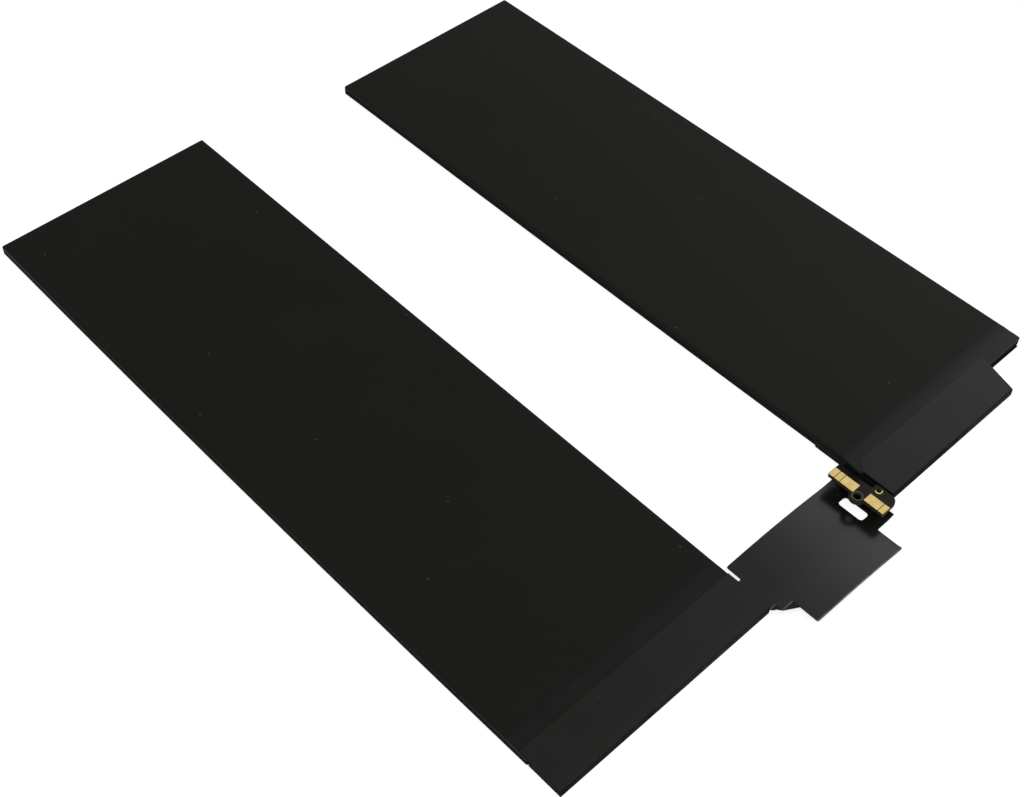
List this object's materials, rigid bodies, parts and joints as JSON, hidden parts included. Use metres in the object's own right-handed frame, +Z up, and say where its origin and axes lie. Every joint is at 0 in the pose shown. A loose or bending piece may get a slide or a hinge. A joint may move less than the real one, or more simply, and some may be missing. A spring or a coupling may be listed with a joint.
{
  "type": "tablet battery",
  "caption": "Flat tablet battery: slim black pouch cells side by side, joined at one end by a flexible film bridge that carries a raised contact board with gold pads and a screw lug.",
  "frame": {"origin": "under the middle of the whole battery, on the plane that its cells lie on", "axes": "+X from the left cell to the right one, +Y along the cells from the bridge end to the far end, +Z up, through the thickness, to the side that the gold pads face"},
  "size_m": [0.1632, 0.2058, 0.0044],
  "materials": {
    "cell_film": "matte black laminate",
    "wrap_film": "satin black film",
    "flex_circuit": "black coverlay",
    "circuit_board": "black solder mask",
    "gold_plate": "gold plated",
    "nickel_strip": "rolled nickel",
    "aluminium_tab": "rolled",
    "chip_moulding": "moulded black epoxy"
  },
  "bodies": {
    "root": {"left_cell": "cell_film", "right_cell": "cell_film", "right_seam_tape": "wrap_film", "left_end_wrap": "wrap_film", "right_end_wrap": "wrap_film", "bridge_flex": "flex_circuit", "contact_tail": "flex_circuit", "contact_board": "circuit_board", "left_protection_board": "circuit_board", "right_protection_board": "circuit_board", "screw_ring": "nickel_strip", "locating_ring": "gold_plate", "data_pad": "gold_plate", "clock_pad": "gold_plate", "positive_pad": "gold_plate", "negative_pad": "gold_plate", "sense_pad": "gold_plate", "left_positive_tab": "aluminium_tab", "right_positive_tab": "aluminium_tab", "left_negative_tab": "nickel_strip", "right_negative_tab": "nickel_strip", "left_positive_plate": "nickel_strip", "left_negative_plate": "nickel_strip", "right_positive_plate": "nickel_strip", "right_negative_plate": "nickel_strip", "left_switch_chip": "chip_moulding", "left_guard_chip": "chip_moulding", "right_switch_chip": "chip_moulding", "right_guard_chip": "chip_moulding", "gauge_chip": "chip_moulding", "sense_resistor": "chip_moulding", "left_thermistor": "chip_moulding", "right_thermistor": "chip_moulding"}
  },
  "joints": []
}
